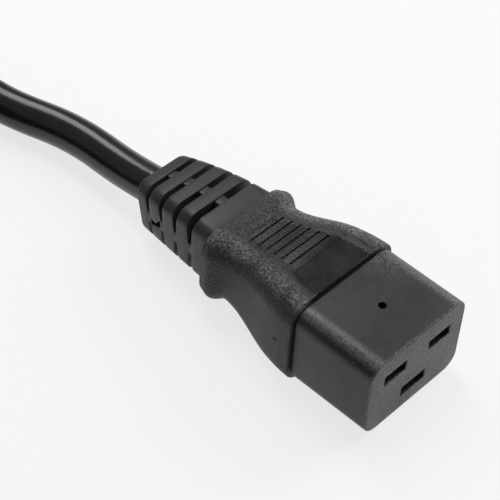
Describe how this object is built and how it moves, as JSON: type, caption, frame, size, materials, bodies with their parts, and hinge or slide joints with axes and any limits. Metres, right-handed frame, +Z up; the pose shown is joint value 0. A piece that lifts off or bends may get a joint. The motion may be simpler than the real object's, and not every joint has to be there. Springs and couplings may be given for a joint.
{
  "type": "c19 power connector",
  "caption": "High-current female appliance connector for rack equipment, moulded on its mains lead with a matching plug on the far end.",
  "frame": {"origin": "middle of the mating face, on the connector's axis", "axes": "-Y out of the mating face, +Y back towards the cord, +X to the right seen from the mating face with the earth slot down, +Z up; the part rests on the underside of its grip's rim, 10.8 mm below the origin"},
  "size_m": [0.1353, 0.2056, 0.0268],
  "materials": {
    "housing": "smooth moulded plastic with a slight sheen",
    "grip": "fine-grained soft moulding",
    "relief": "smooth matt soft moulding",
    "premould": "natural plastic, hidden",
    "cord": "satin sheath",
    "tie": "woven hook and loop strap",
    "brass": "stamped sheet",
    "nickel": "plated blade",
    "copper": "stranded copper",
    "core_brown": "satin insulation",
    "core_blue": "satin insulation",
    "core_green_yellow": "satin insulation"
  },
  "bodies": {
    "root": {"front_housing": "housing", "rear_grip": "grip", "strain_relief": "relief", "premould": "premould", "sheath": "cord", "contact_line": "brass", "contact_neutral": "brass", "contact_earth": "brass", "conductor_line": "copper", "conductor_neutral": "copper", "conductor_earth": "copper", "core_line": "core_brown", "core_neutral": "core_blue", "core_earth": "core_green_yellow", "cord_lead": "cord", "cord_coil": "cord", "cord_tail": "cord", "cord_tie": "tie", "plug_shroud": "housing", "plug_grip": "grip", "plug_strain_relief": "relief", "plug_premould": "premould", "plug_sheath": "cord", "plug_pin_line": "nickel", "plug_pin_neutral": "nickel", "plug_pin_earth": "nickel", "plug_conductor_line": "copper", "plug_conductor_neutral": "copper", "plug_conductor_earth": "copper", "plug_core_line": "core_brown", "plug_core_neutral": "core_blue", "plug_core_earth": "core_green_yellow"}
  },
  "joints": []
}
